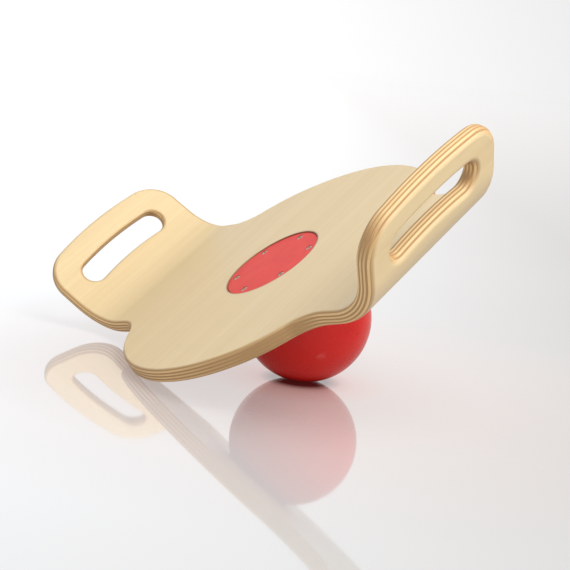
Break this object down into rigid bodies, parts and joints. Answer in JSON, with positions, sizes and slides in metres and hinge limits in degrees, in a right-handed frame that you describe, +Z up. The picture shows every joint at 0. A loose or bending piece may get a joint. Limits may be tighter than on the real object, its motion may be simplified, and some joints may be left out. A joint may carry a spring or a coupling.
{
  "type": "balance board",
  "caption": "Moulded plywood balance board with slotted hand grips, rocking on a soft ball clamped under its middle.",
  "frame": {"origin": "middle of the flattened patch on which the ball stands on the floor", "axes": "+Z up from the floor; +X along the board towards its high right grip; +Y towards the back. The board stands tipped, as it rests: its own top face is turned 38 degrees down towards the front left."},
  "size_m": [0.6042, 0.3093, 0.3034],
  "materials": {
    "face_veneer": "pale birch veneer under a satin clear lacquer",
    "long_ply": "sanded ply edge, lacquered",
    "cross_ply": "sanded end grain, lacquered",
    "ball_skin": "smooth soft vinyl, satin",
    "valve_rubber": "matt",
    "plate_red": "satin red",
    "screw_steel": "plain steel",
    "insert_brass": "plain brass"
  },
  "bodies": {
    "root": {"top_veneer": "face_veneer", "cross_ply_1": "cross_ply", "long_ply_1": "long_ply", "cross_ply_2": "cross_ply", "core_ply": "long_ply", "cross_ply_3": "cross_ply", "long_ply_2": "long_ply", "cross_ply_4": "cross_ply", "bottom_veneer": "face_veneer", "ball": "ball_skin", "valve_plug": "valve_rubber", "cover_plate": "plate_red", "cover_screws": "screw_steel", "threaded_inserts": "insert_brass"}
  },
  "joints": []
}
